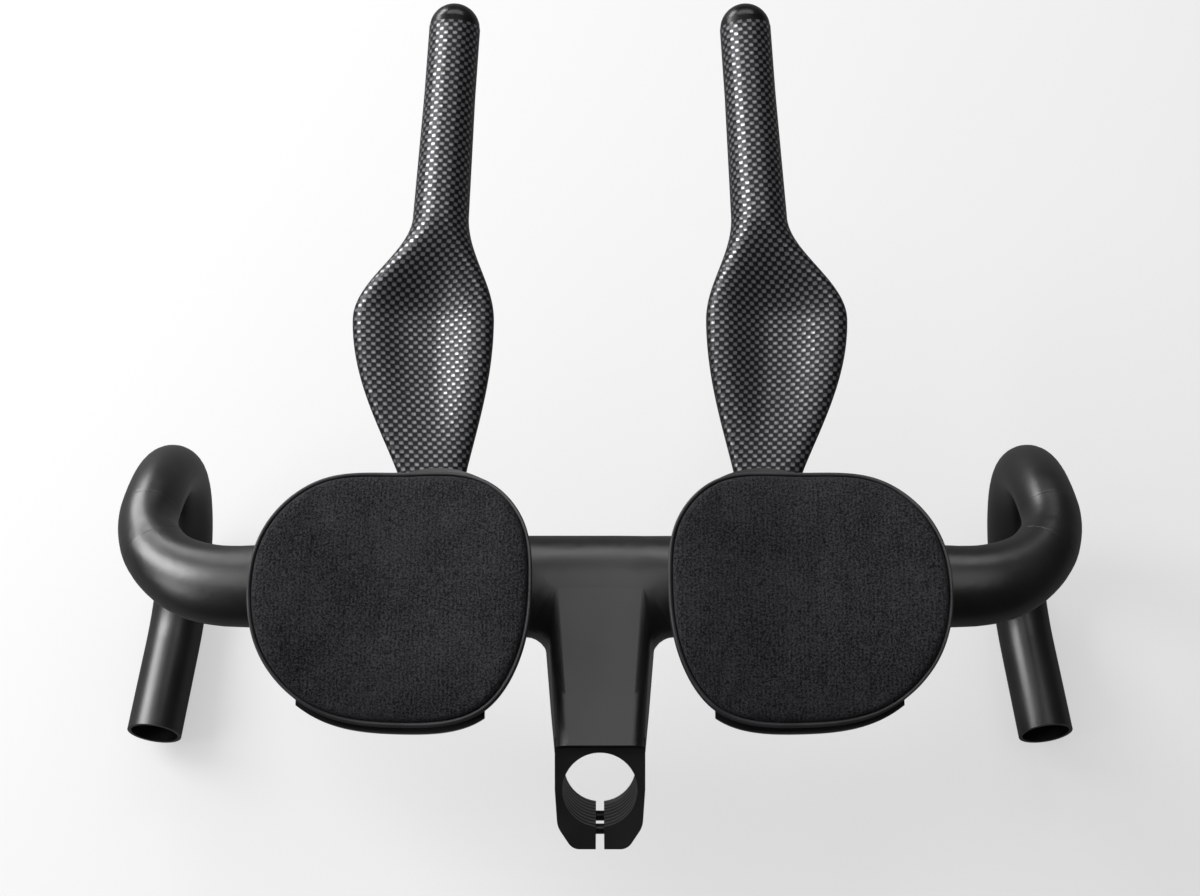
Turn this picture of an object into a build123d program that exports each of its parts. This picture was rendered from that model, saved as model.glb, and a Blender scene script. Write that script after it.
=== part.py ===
from build123d import *
from math import atan2, cos, pi, radians, sin, sqrt, tan
import os

# Drop handlebar moulded in one piece with its stem, carrying two scooped arm-rest extensions.
# Each extension and its cushioned cup are bolted to a two-piece clamp on the bar's flat top.
# Millimetres. Origin on the steerer axis at mid height of its clamp.
# +X is the rider's right, +Y is forward, +Z is up with the bar level as it is ridden.

os.makedirs("parts", exist_ok=True)

# Steerer clamp
steerer_diameter = 28.6
steerer_lean = 24.0
clamp_height = 40.0
clamp_side_wall = 2.9
clamp_front_depth = 20.0
clamp_slot_width = 3.2
clamp_corner_radius = 5.0
clamp_shoulder_radius = 9.0
clamp_draw_in = 0.95

# Pinch bolts across the clamp's slot
pinch_bolt_diameter = 4.0
pinch_bolt_spacing = 20.0
pinch_head_diameter = 7.0
pinch_head_height = 4.0
pinch_hex = 3.0
pinch_seat_offset = 9.5
pinch_bore_wall = 1.2
pinch_rear_wall = 1.6
pinch_recess = 1.0

# Bar tops
bar_reach = 72.2
bar_rise = 18.3
top_depth = 41.0
top_thickness = 24.0
top_wall = 2.4
clamp_zone_half_length = 96.0
bend_start = 143.7
shoulder_depth = 32.5
shoulder_thickness = 23.9

# Drops
drop_half_width = 186.7
drop_splay = 6.0
drop_flare = 3.4
dive_angle = 27.0
drop_radius = 54.5
end_rise = 8.0
end_length = 41.5
tube_diameter = 23.8
tube_wall = 1.6
round_share = 0.94
bore_share = 0.89
bore_step = 0.3
joint_step = 0.04
shoulder_steps = 5

# Stem
stem_rear_step = 6.5
stem_rear_top_width = 33.6
stem_rear_base_width = 35.2
stem_front_top_width = 41.0
stem_front_base_width = 49.5
stem_taper_share = 0.3
stem_top_radius = 5.0
stem_base_radius = 6.0
stem_flare_radius = 9.0
stem_top_drop = 0.2

# Clamps of the extensions
extension_offset = 65.0
saddle_height = 6.7
deck_tilt = 6.0
saddle_width = 32.0
saddle_ear_reach = 12.0
saddle_ear_thickness = 9.0
saddle_corner_radius = 3.0
cap_floor_thickness = 4.5
clamp_split_gap = 1.0
bar_clearance = 0.15
clamp_bolt_diameter = 5.0
clamp_head_diameter = 8.5
clamp_head_height = 5.0
clamp_hex = 4.0

# Extensions
foot_width = 27.0
foot_thickness = 10.0
foot_rear = 30.0
foot_front = 24.0
foot_corner_radius = 3.0
foot_blend = 1.2
neck_at = 37.0
neck_width = 26.0
neck_thickness = 9.0
widest_at = 98.5
scoop_width = 55.3
scoop_bulge = 4.2
scoop_thickness = 17.0
scoop_dish = 9.5
scoop_fullness = 1.1
foot_squareness = 6.0
neck_squareness = 3.0
scoop_squareness = 2.4
round_squareness = 2.0
scoop_points = 28
scoop_rise_steps = 7
scoop_fall_steps = 5
root_at = 140.0
root_shift = -2.2
root_diameter = 22.0
grip_rise = 5.0
grip_toe_in = 3.35
grip_taper_length = 50.0
cone_step = 0.05
grip_diameter = 20.4
grip_seat_diameter = 20.3
grip_seat_length = 28.2
grip_bore_diameter = 16.4
grip_bore_depth = 46.0

# End caps
cap_diameter = 20.2
cap_shoulder_diameter = 19.4
cap_rim_length = 2.4
cap_dome_height = 7.4
plug_length = 20.0
plug_clearance = 0.05
plug_groove_depth = 0.6
plug_groove_width = 2.0

# Arm cups and pads
pad_centre_offset = 12.7
pad_centre_setback = 13.4
pad_width = 105.7
pad_length = 96.5
pad_thickness = 13.0
pad_top_radius = 5.0
trough_radius = 150.0
cup_thickness = 2.5
cup_floor_gap = 1.0
cup_inset = 1.0
front_lip_width = 67.0
rear_lip_width = 70.0
front_lip_reach = 1.0
rear_lip_reach = 1.5
strip_thickness = 0.9
strip_width = 18.0
strip_length = 62.0
strip_spacing = 58.0
strip_gap = 0.05

# Bolts through the cup and the extension's foot
cup_bolt_diameter = 5.0
cup_bolt_spacing = 26.0
cup_head_diameter = 9.6
cup_head_sink = 0.3
countersink_angle = 90.0
cup_hex = 3.0
cup_thread_depth = 6.5
cup_thread_run_out = 1.0

# Shared clearances
bolt_clearance = 0.25
thread_clearance = 0.05
socket_share = 0.6

bar_centre = Vector(0, bar_reach, bar_rise)
steerer_axis = Vector(0, -sin(radians(steerer_lean)), cos(radians(steerer_lean)))
clamp_plane = Plane(origin=(0, 0, 0), x_dir=(1, 0, 0), z_dir=steerer_axis)
bar_top = bar_rise + top_thickness / 2

# The drop lies in a plane that splays outward to the rear and flares outward below.
splay_slope = tan(radians(drop_splay))
flare_slope = tan(radians(drop_flare))
drop_normal = Vector(1, splay_slope, flare_slope).normalized()
drop_forward = Vector(-splay_slope, 1, 0).normalized()
drop_up = drop_normal.cross(drop_forward)


def drop_direction(turn):
    """Direction along the drop after turning down by an angle in degrees."""
    return drop_forward * cos(radians(turn)) - drop_up * sin(radians(turn))


def drop_radial(turn):
    """Direction from the centre of the drop's arc to the tube at that turn."""
    return drop_forward * sin(radians(turn)) + drop_up * cos(radians(turn))


bend_run = drop_half_width - bend_start
bend_from = bar_centre + Vector(bend_start, 0, 0)
dive_direction = drop_direction(dive_angle)
bend_to = bend_from + (Vector(1, 0, 0) + dive_direction) * bend_run
drop_centre = bend_to - drop_radial(dive_angle) * drop_radius
end_turn = 180 + end_rise
drop_lowest_turn = (dive_angle + end_turn) / 2
drop_middle = drop_centre + drop_radial(drop_lowest_turn) * drop_radius
drop_end = drop_centre + drop_radial(end_turn) * drop_radius
bar_end = drop_end + drop_direction(end_turn) * end_length

with BuildLine() as bend_line:
    TangentArc(bend_from, bend_to, tangent=(1, 0, 0))


def drop_line(share):
    """Middle line of the drop, from that far along the bend to the open end."""
    with BuildLine() as line:
        add(bend_line.edge().trim(share, 1))
        ThreePointArc(bend_to, drop_middle, drop_end)
        Line(drop_end, bar_end)
    return line.line


def section_plane(point, direction):
    """Plane across the bar with its first axis fore and aft."""
    upright = Vector(0, 0, 1) - direction * direction.Z
    return Plane(origin=point, x_dir=upright.cross(direction), z_dir=direction)


def bend_plane(share):
    """Plane across the bend that far along it."""
    return section_plane(bend_line.line @ share, bend_line.line % share)


def smooth(share):
    """Rise from 0 to 1 that starts and ends level."""
    return (1 - cos(pi * share)) / 2


def between(start, end, share):
    """Value that far from start to end."""
    return start + (end - start) * share


def oval(plane, depth, height, inset):
    """Oval face across the bar, inset by the wall there."""
    with BuildSketch(plane) as section:
        Ellipse(depth / 2 - inset, min(depth, height) / 2 - inset)
    return section.sketch


def round_face(plane, diameter):
    """Round face on a plane."""
    with BuildSketch(plane) as section:
        Circle(diameter / 2)
    return section.sketch


def shoulder_sections(top_inset, tube_inset):
    """Oval sections from the clamp zone round the bend to the drop, each inset by the wall there."""
    shares = [step / shoulder_steps for step in range(shoulder_steps + 1)]
    sections = []
    for share in shares:
        depth = between(top_depth, shoulder_depth, smooth(share))
        height = between(top_thickness, shoulder_thickness, smooth(share))
        point = bar_centre + Vector(between(clamp_zone_half_length, bend_start, share), 0, 0)
        sections.append(oval(section_plane(point, Vector(1, 0, 0)), depth, height, top_inset))
    for share in shares[1:]:
        depth = between(shoulder_depth, tube_diameter, smooth(share))
        height = between(shoulder_thickness, tube_diameter, smooth(share))
        inset = between(top_inset, tube_inset, share)
        plane = bend_plane(round_share * share)
        sections.append(oval(plane, depth, height, inset))
    return sections


bar_middle = section_plane(bar_centre, Vector(1, 0, 0))

# Shoulder and drop of the right side; the drop's tube starts inside the shoulder's slightly wider end
with BuildPart() as right_side:
    loft(shoulder_sections(0, -joint_step))
    sweep(round_face(bend_plane(bore_share), tube_diameter), path=drop_line(bore_share))

# Their cavity; the bore of the drop starts inside the wider cavity of the shoulder
with BuildPart() as side_cavity:
    loft(shoulder_sections(top_wall, tube_wall - bore_step))
    sweep(round_face(bend_plane(bore_share), tube_diameter - 2 * tube_wall), path=drop_line(bore_share))

with BuildPart() as bar_cavity:
    extrude(
        oval(bar_middle, top_depth, top_thickness, top_wall),
        amount=clamp_zone_half_length,
        both=True,
    )
    add(side_cavity.part)
    mirror(side_cavity.part, about=Plane.YZ)

pinch_hole_diameter = pinch_bolt_diameter + bolt_clearance
pinch_counterbore = pinch_head_diameter + 2 * bolt_clearance
pinch_setback = steerer_diameter / 2 + pinch_bore_wall + pinch_hole_diameter / 2
clamp_rear_depth = pinch_setback + pinch_counterbore / 2 + pinch_rear_wall
clamp_half_width = steerer_diameter / 2 + clamp_side_wall
clamp_rear_half_width = pinch_seat_offset + pinch_recess
pinch_heights = (pinch_bolt_spacing / 2, -pinch_bolt_spacing / 2)


def pinch_plane(side, height):
    """Seat of a pinch bolt's head or nut, facing out of the clamp on that side."""
    seat = clamp_plane.from_local_coords((side * pinch_seat_offset, -pinch_setback, height))
    return Plane(origin=seat, x_dir=steerer_axis, z_dir=(side, 0, 0))


def stem_section(place, top_width, base_width, base_height):
    """Cross-section of the stem: flat top, sides that spread downward, rounded corners."""
    with BuildSketch(Plane.XZ.offset(-place)) as section:
        with BuildLine():
            Polyline(
                (-top_width / 2, stem_top),
                (top_width / 2, stem_top),
                (base_width / 2, base_height),
                (-base_width / 2, base_height),
                close=True,
            )
        make_face()
        fillet(section.vertices().group_by(Axis.Y)[-1], stem_top_radius)
        fillet(section.vertices().group_by(Axis.Y)[0], stem_base_radius)
    return section.sketch


# Lower front corner of the clamp, where the stem's underside starts
clamp_front_foot = clamp_plane.from_local_coords((0, clamp_front_depth, -clamp_height / 2))
bar_rear = bar_reach - top_depth / 2
bar_underside = bar_rise - top_thickness / 2 + top_wall
stem_top = bar_top - stem_top_drop

with BuildPart() as bar_and_stem:
    extrude(
        oval(bar_middle, top_depth, top_thickness, 0),
        amount=clamp_zone_half_length,
        both=True,
    )
    rear_widths = (stem_rear_top_width, stem_rear_base_width)
    front_widths = (stem_front_top_width, stem_front_base_width)
    middle_widths = [between(rear, front, stem_taper_share) for rear, front in zip(rear_widths, front_widths)]
    stem_middle = stem_section(clamp_front_foot.Y, *middle_widths, clamp_front_foot.Z)
    loft([stem_section(stem_rear_step, *rear_widths, clamp_front_foot.Z), stem_middle])
    loft([stem_middle, stem_section(bar_reach, *front_widths, bar_underside)])
    meeting_edges = bar_and_stem.edges().filter_by(GeomType.BSPLINE)
    meeting_edges = meeting_edges.filter_by_position(Axis.Y, bar_rear - top_wall, bar_reach - top_wall)
    fillet(meeting_edges, stem_flare_radius)
    add(right_side.part)
    mirror(right_side.part, about=Plane.YZ)

    with BuildSketch(clamp_plane) as clamp_outline:
        with BuildLine():
            Polyline(
                (-clamp_half_width, clamp_front_depth),
                (clamp_half_width, clamp_front_depth),
                (clamp_half_width, 0),
                (clamp_half_width - clamp_draw_in, -steerer_diameter / 2),
                (clamp_rear_half_width, -clamp_rear_depth),
                (-clamp_rear_half_width, -clamp_rear_depth),
                (-clamp_half_width + clamp_draw_in, -steerer_diameter / 2),
                (-clamp_half_width, 0),
                close=True,
            )
        make_face()
        fillet(clamp_outline.vertices().group_by(Axis.Y)[0], clamp_corner_radius)
        fillet(clamp_outline.vertices().group_by(Axis.Y)[-3], clamp_shoulder_radius)
    extrude(amount=clamp_height / 2, both=True)

    with BuildSketch(clamp_plane):
        Circle(steerer_diameter / 2)
    extrude(amount=clamp_height, both=True, mode=Mode.SUBTRACT)
    with BuildSketch(clamp_plane):
        with Locations((0, -clamp_rear_depth)):
            Rectangle(clamp_slot_width, 2 * clamp_rear_depth)
    extrude(amount=clamp_height, both=True, mode=Mode.SUBTRACT)
    for pinch_height in pinch_heights:
        with BuildSketch(pinch_plane(1, pinch_height)):
            Circle(pinch_hole_diameter / 2)
        extrude(amount=-2 * pinch_seat_offset, mode=Mode.SUBTRACT)
        for side in (1, -1):
            with BuildSketch(pinch_plane(side, pinch_height)):
                Circle(pinch_counterbore / 2)
            extrude(amount=clamp_half_width, mode=Mode.SUBTRACT)
    add(bar_cavity.part, mode=Mode.SUBTRACT)


def socket_bolt(seat, diameter, length, head_diameter, head_height, hex_size):
    """Socket-head bolt with its head standing on the seat plane and its shank below it."""
    extrude(round_face(seat, head_diameter), amount=head_height)
    extrude(round_face(seat, diameter), amount=-length)
    with BuildSketch(seat.offset(head_height)) as socket:
        RegularPolygon(hex_size / 2, 6, major_radius=False)
    extrude(socket.sketch, amount=-head_height * socket_share, mode=Mode.SUBTRACT)


with BuildPart() as steerer_clamp_bolts:
    for pinch_height in pinch_heights:
        socket_bolt(
            pinch_plane(1, pinch_height),
            pinch_bolt_diameter,
            2 * pinch_seat_offset + pinch_head_height,
            pinch_head_diameter,
            pinch_head_height,
            pinch_hex,
        )

with BuildPart() as steerer_clamp_nuts:
    for pinch_height in pinch_heights:
        with BuildSketch(pinch_plane(-1, pinch_height)):
            Circle(pinch_head_diameter / 2)
            Circle(pinch_bolt_diameter / 2 + thread_clearance, mode=Mode.SUBTRACT)
        extrude(amount=pinch_head_height)

# The right-hand clamp, extension and cup stand on a deck that rises forward.
# Deck coordinates run across, forward and up from the clamp's centre on the deck.
deck = Plane(
    origin=(extension_offset, bar_reach, bar_top + saddle_height),
    x_dir=(1, 0, 0),
    z_dir=(0, -sin(radians(deck_tilt)), cos(radians(deck_tilt))),
)
clamp_middle = Plane(origin=(extension_offset, bar_reach, bar_rise), x_dir=(0, 1, 0), z_dir=(1, 0, 0))
ear_offset = top_depth / 2 + bar_clearance + saddle_ear_reach / 2
ear_end = top_depth / 2 + bar_clearance + saddle_ear_reach
deck_level = top_thickness / 2 + saddle_height
deck_slope = tan(radians(deck_tilt))
cup_bolt_places = ((0, -cup_bolt_spacing / 2), (0, cup_bolt_spacing / 2))
clamp_bolt_places = (-ear_offset, ear_offset)
ear_seat = clamp_split_gap / 2 + saddle_ear_thickness

with BuildPart() as right_clamp_saddle:
    with BuildSketch(clamp_middle) as saddle_profile:
        with BuildLine():
            Polyline(
                (-ear_end, clamp_split_gap / 2),
                (ear_end, clamp_split_gap / 2),
                (ear_end, ear_seat),
                (foot_front, deck_level + foot_front * deck_slope),
                (-foot_rear, deck_level - foot_rear * deck_slope),
                (-ear_end, ear_seat),
                close=True,
            )
        make_face()
        Ellipse(
            top_depth / 2 + bar_clearance,
            top_thickness / 2 + bar_clearance,
            mode=Mode.SUBTRACT,
        )
    extrude(amount=saddle_width / 2, both=True)
    fillet(right_clamp_saddle.edges().filter_by(Axis.Z), saddle_corner_radius)
    for place in clamp_bolt_places:
        with BuildSketch(Plane.XY.offset(bar_rise)):
            with Locations((extension_offset, bar_reach + place)):
                Circle(clamp_bolt_diameter / 2 + thread_clearance)
        extrude(amount=ear_seat + saddle_height, mode=Mode.SUBTRACT)
    with BuildSketch(deck):
        with Locations(*cup_bolt_places):
            Circle(cup_bolt_diameter / 2 + thread_clearance)
    extrude(amount=-cup_thread_depth - cup_thread_run_out, mode=Mode.SUBTRACT)

with BuildPart() as right_clamp_cap:
    with BuildSketch(clamp_middle) as cap_profile:
        Ellipse(
            top_depth / 2 + bar_clearance + cap_floor_thickness,
            top_thickness / 2 + bar_clearance + cap_floor_thickness,
        )
        with Locations((0, -saddle_ear_thickness / 2)):
            Rectangle(2 * ear_end, saddle_ear_thickness)
        Ellipse(
            top_depth / 2 + bar_clearance,
            top_thickness / 2 + bar_clearance,
            mode=Mode.SUBTRACT,
        )
        with Locations((0, top_thickness - clamp_split_gap / 2)):
            Rectangle(3 * top_depth, 2 * top_thickness, mode=Mode.SUBTRACT)
    extrude(amount=saddle_width / 2, both=True)
    fillet(right_clamp_cap.edges().filter_by(Axis.Z), saddle_corner_radius)
    for place in clamp_bolt_places:
        with BuildSketch(Plane.XY.offset(bar_rise)):
            with Locations((extension_offset, bar_reach + place)):
                Circle(clamp_bolt_diameter / 2 + bolt_clearance)
        extrude(amount=-2 * saddle_ear_thickness, mode=Mode.SUBTRACT)

with BuildPart() as right_clamp_bolts:
    for place in clamp_bolt_places:
        seat = (extension_offset, bar_reach + place, bar_rise - saddle_ear_thickness)
        socket_bolt(
            Plane(origin=seat, x_dir=(1, 0, 0), z_dir=(0, 0, -1)),
            clamp_bolt_diameter,
            saddle_ear_thickness + ear_seat,
            clamp_head_diameter,
            clamp_head_height,
            clamp_hex,
        )

# Extension: flat foot, narrow neck, dished scoop, tapering grip tube
foot_middle = foot_thickness / 2
rise_slope = tan(radians(grip_rise))
toe_slope = tan(radians(grip_toe_in))


def section_curve(half_width, half_height, squareness, dish):
    """Points round a rounded section whose top is dished between its two rims."""
    points = []
    for step in range(scoop_points):
        angle = 2 * pi * (step + 0.5) / scoop_points
        across = abs(cos(angle)) ** (2 / squareness)
        upward = abs(sin(angle)) ** (2 / squareness)
        hollow = dish * (1 - across**2) ** 2 if sin(angle) > 0 else 0
        x = half_width * across if cos(angle) > 0 else -half_width * across
        y = half_height * upward if sin(angle) > 0 else -half_height * upward
        points.append((x, y - hollow))
    return points


def extension_section(place, shift, half_width, half_height, squareness, dish):
    """One section of the extension, square to the deck, centred on its rising middle line."""
    middle = foot_middle + rise_slope * max(place - neck_at, 0)
    origin = deck.from_local_coords((shift, place, middle))
    with BuildSketch(Plane(origin=origin, x_dir=(1, 0, 0), z_dir=deck.y_dir * -1)) as section:
        with BuildLine():
            Spline(*section_curve(half_width, half_height, squareness, dish), periodic=True)
        make_face()
    return section.sketch


grip_direction_local = Vector(-toe_slope, 1, rise_slope).normalized()
grip_root = deck.from_local_coords((root_shift, root_at, foot_middle + rise_slope * (root_at - neck_at)))
grip_direction = (
    deck.x_dir * grip_direction_local.X
    + deck.y_dir * grip_direction_local.Y
    + deck.z_dir * grip_direction_local.Z
)
grip_across = deck.z_dir.cross(grip_direction) * -1


def grip_plane(distance):
    """Plane across the grip tube at a distance from its root, facing forward."""
    return Plane(origin=grip_root + grip_direction * distance, x_dir=grip_across, z_dir=grip_direction)


def grip_section(share):
    """Round section that far along the tapering grip tube."""
    radius = between(root_diameter, grip_diameter, share) / 2
    origin = grip_root + grip_direction * grip_taper_length * share
    with BuildSketch(Plane(origin=origin, x_dir=grip_across, z_dir=grip_direction * -1)) as section:
        with BuildLine():
            Spline(*section_curve(radius, radius, round_squareness, 0), periodic=True)
        make_face()
    return section.sketch


grip_length = grip_taper_length + grip_seat_length
rise_step = (widest_at - neck_at) / scoop_rise_steps
fall_step = (root_at - widest_at) / scoop_fall_steps

foot_section = (0, foot_width / 2 - foot_blend, foot_middle - foot_blend, foot_squareness, 0)
extension_sections = [
    extension_section(neck_at - 2 * rise_step, *foot_section),
    extension_section(neck_at - rise_step, *foot_section),
]
for step in range(scoop_rise_steps + 1):
    share = step / scoop_rise_steps
    swell = sin(pi / 2 * share) ** scoop_fullness
    extension_sections.append(
        extension_section(
            between(neck_at, widest_at, share),
            scoop_bulge * swell,
            between(neck_width, scoop_width, swell) / 2,
            between(neck_thickness, scoop_thickness, swell) / 2,
            between(neck_squareness, scoop_squareness, share),
            scoop_dish * swell,
        )
    )
for step in range(1, scoop_fall_steps):
    share = step / scoop_fall_steps
    swell = cos(pi / 2 * share) ** 2
    extension_sections.append(
        extension_section(
            between(widest_at, root_at, share),
            between(root_shift, scoop_bulge, swell),
            between(root_diameter, scoop_width, swell) / 2,
            between(root_diameter, scoop_thickness, swell) / 2,
            between(round_squareness, scoop_squareness, swell),
            scoop_dish * swell,
        )
    )
for distance in (0, fall_step):
    extension_sections.append(grip_section(distance / grip_taper_length))

with BuildPart() as right_extension:
    loft(extension_sections)
    cone_start_diameter = between(root_diameter, grip_diameter, fall_step / grip_taper_length)
    loft(
        [
            round_face(grip_plane(fall_step), cone_start_diameter - 2 * cone_step),
            round_face(grip_plane(grip_taper_length), grip_diameter),
        ]
    )
    extrude(round_face(grip_plane(grip_taper_length), grip_seat_diameter), amount=grip_seat_length)
    with BuildSketch(deck) as foot_outline:
        with Locations((0, (foot_front - foot_rear) / 2)):
            Rectangle(foot_width, foot_front + foot_rear)
        fillet(foot_outline.vertices().group_by(Axis.Y)[0], foot_corner_radius)
    extrude(amount=foot_thickness)
    with BuildSketch(deck):
        with Locations(*cup_bolt_places):
            Circle(cup_bolt_diameter / 2 + bolt_clearance)
    extrude(amount=foot_thickness, mode=Mode.SUBTRACT)
    with BuildSketch(grip_plane(grip_length)):
        Circle(grip_bore_diameter / 2)
    extrude(amount=-grip_bore_depth, mode=Mode.SUBTRACT)

# End cap: domed head on a grooved plug that pushes into the grip tube
plug_radius = grip_bore_diameter / 2 - plug_clearance
cap_plane = grip_plane(grip_length)
dome_top = cap_rim_length + cap_dome_height
dome_radius = ((cap_shoulder_diameter / 2) ** 2 + cap_dome_height**2) / (2 * cap_dome_height)
dome_angle = 2 * atan2(cap_dome_height, cap_shoulder_diameter / 2)
cap_profile_plane = Plane(origin=cap_plane.origin, x_dir=grip_across, z_dir=grip_across.cross(grip_direction))

with BuildPart() as right_end_cap:
    with BuildSketch(cap_profile_plane):
        with BuildLine():
            Polyline(
                (0, dome_top),
                (0, -plug_length),
                (plug_radius, -plug_length),
                (plug_radius, 0),
                (cap_diameter / 2, 0),
                (cap_shoulder_diameter / 2, cap_rim_length),
            )
            ThreePointArc(
                (cap_shoulder_diameter / 2, cap_rim_length),
                (dome_radius * sin(dome_angle / 2), dome_top - dome_radius * (1 - cos(dome_angle / 2))),
                (0, dome_top),
            )
        make_face()
        for groove in (-plug_length / 3, -2 * plug_length / 3):
            with Locations((plug_radius, groove)):
                Rectangle(2 * plug_groove_depth, plug_groove_width, mode=Mode.SUBTRACT)
    revolve(axis=Axis(cap_plane.origin, grip_direction))

# Arm cup, hook-and-loop strips and pad share one trough along the forearm.
trough_axis_height = foot_thickness + cup_floor_gap + cup_thickness + trough_radius
trough_place = (pad_centre_offset, -pad_centre_setback, trough_axis_height)
trough_height = 2 * pad_length


def pad_outline(inset):
    """Points round the pad: flat front, broad outer side, narrower inner rear corner."""
    across = pad_width / 2 - inset
    along = pad_length / 2 - inset
    return (
        (-0.05 * across, along),
        (-0.66 * across, 0.92 * along),
        (-0.945 * across, 0.56 * along),
        (-across, 0.12 * along),
        (-0.94 * across, -0.42 * along),
        (-0.67 * across, -0.88 * along),
        (-0.07 * across, -along),
        (0.53 * across, -0.88 * along),
        (0.89 * across, -0.50 * along),
        (across, 0.02 * along),
        (0.89 * across, 0.56 * along),
        (0.51 * across, 0.94 * along),
    )


def pad_face(inset):
    """Face of the pad's outline, inset all round."""
    with BuildSketch(pad_plane) as face:
        with BuildLine():
            Spline(*pad_outline(inset), periodic=True)
        make_face()
    return face.sketch


def lip_face(width, reach, end):
    """Face of the cup's lip, which reaches past the pad at its front end, 1, or its rear end, -1."""
    with BuildSketch(pad_plane) as face:
        with BuildLine():
            Spline(*[(x, y + end * reach) for x, y in pad_outline(0)], periodic=True)
        make_face()
        with Locations((0, end * pad_length / 2)):
            Rectangle(width, pad_length, mode=Mode.INTERSECT)
    return face.sketch


def trough(radius, mode):
    """Round bar along the forearm that shapes the cup and the pad."""
    with Locations(trough_place):
        Cylinder(radius, trough_height, rotation=(90, 0, 0), mode=mode)


pad_plane = Plane(
    origin=deck.from_local_coords((pad_centre_offset, -pad_centre_setback, 0)),
    x_dir=deck.x_dir,
    z_dir=deck.z_dir,
)
stack_height = foot_thickness + pad_thickness + pad_width / 2
pad_base_gap = strip_thickness + 2 * strip_gap

with BuildPart(deck) as right_arm_cup:
    extrude(pad_face(cup_inset), amount=stack_height)
    extrude(lip_face(front_lip_width, front_lip_reach, 1), amount=stack_height)
    extrude(lip_face(rear_lip_width, rear_lip_reach, -1), amount=stack_height)
    trough(trough_radius + cup_thickness, Mode.INTERSECT)
    with BuildSketch(deck.offset(foot_thickness)):
        Rectangle(foot_width, cup_bolt_spacing + 2 * cup_head_diameter)
    extrude(amount=cup_floor_gap + 2 * cup_thickness)
    trough(trough_radius, Mode.SUBTRACT)
    cup_head_top = trough_axis_height - sqrt(trough_radius**2 - pad_centre_offset**2) - cup_head_sink
    with Locations(*[(x, y, cup_head_top) for x, y in cup_bolt_places]):
        CounterSinkHole(
            cup_bolt_diameter / 2 + bolt_clearance,
            cup_head_diameter / 2 + bolt_clearance,
            depth=2 * foot_thickness,
            counter_sink_angle=countersink_angle,
        )

cup_bolt_length = cup_head_top + cup_thread_depth
cup_head_height = (cup_head_diameter - cup_bolt_diameter) / 2 / tan(radians(countersink_angle / 2))

with BuildPart(deck) as right_cup_bolts:
    for x, y in cup_bolt_places:
        head_plane = deck.offset(cup_head_top)
        with BuildSketch(head_plane):
            with Locations((x, y)):
                Circle(cup_head_diameter / 2)
        with BuildSketch(head_plane.offset(-cup_head_height)):
            with Locations((x, y)):
                Circle(cup_bolt_diameter / 2)
        loft()
        with BuildSketch(head_plane):
            with Locations((x, y)):
                Circle(cup_bolt_diameter / 2)
        extrude(amount=-cup_bolt_length)
        with BuildSketch(head_plane):
            with Locations((x, y)):
                RegularPolygon(cup_hex / 2, 6, major_radius=False)
        extrude(amount=-cup_head_height * socket_share, mode=Mode.SUBTRACT)

with BuildPart(deck) as right_pad_strips:
    with BuildSketch(pad_plane):
        with Locations((-strip_spacing / 2, 0), (strip_spacing / 2, 0)):
            Rectangle(strip_width, strip_length)
    extrude(amount=stack_height)
    trough(trough_radius - strip_gap, Mode.INTERSECT)
    trough(trough_radius - strip_gap - strip_thickness, Mode.SUBTRACT)

with BuildPart(deck) as right_arm_pad:
    extrude(pad_face(0), amount=stack_height)
    trough(trough_radius - pad_base_gap, Mode.INTERSECT)
    trough(trough_radius - pad_base_gap - pad_thickness, Mode.SUBTRACT)
    fillet(right_arm_pad.edges().sort_by(Axis(deck.origin, deck.z_dir))[-1], pad_top_radius)

right_pieces = {
    "extension": right_extension,
    "end_cap": right_end_cap,
    "arm_pad": right_arm_pad,
    "pad_strips": right_pad_strips,
    "arm_cup": right_arm_cup,
    "cup_bolts": right_cup_bolts,
    "clamp_saddle": right_clamp_saddle,
    "clamp_cap": right_clamp_cap,
    "clamp_bolts": right_clamp_bolts,
}

finished = {
    "bar_and_stem": bar_and_stem,
    "steerer_clamp_bolts": steerer_clamp_bolts,
    "steerer_clamp_nuts": steerer_clamp_nuts,
}
for piece_name, right_piece in right_pieces.items():
    with BuildPart() as left_piece:
        mirror(right_piece.part, about=Plane.YZ)
    finished["right_" + piece_name] = right_piece
    finished["left_" + piece_name] = left_piece

for node_name, piece in finished.items():
    piece.part.label = node_name
    export_step(piece.part, "parts/" + node_name + ".step")
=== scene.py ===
from math import acos, cos, pi, radians, sin, tan

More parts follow.
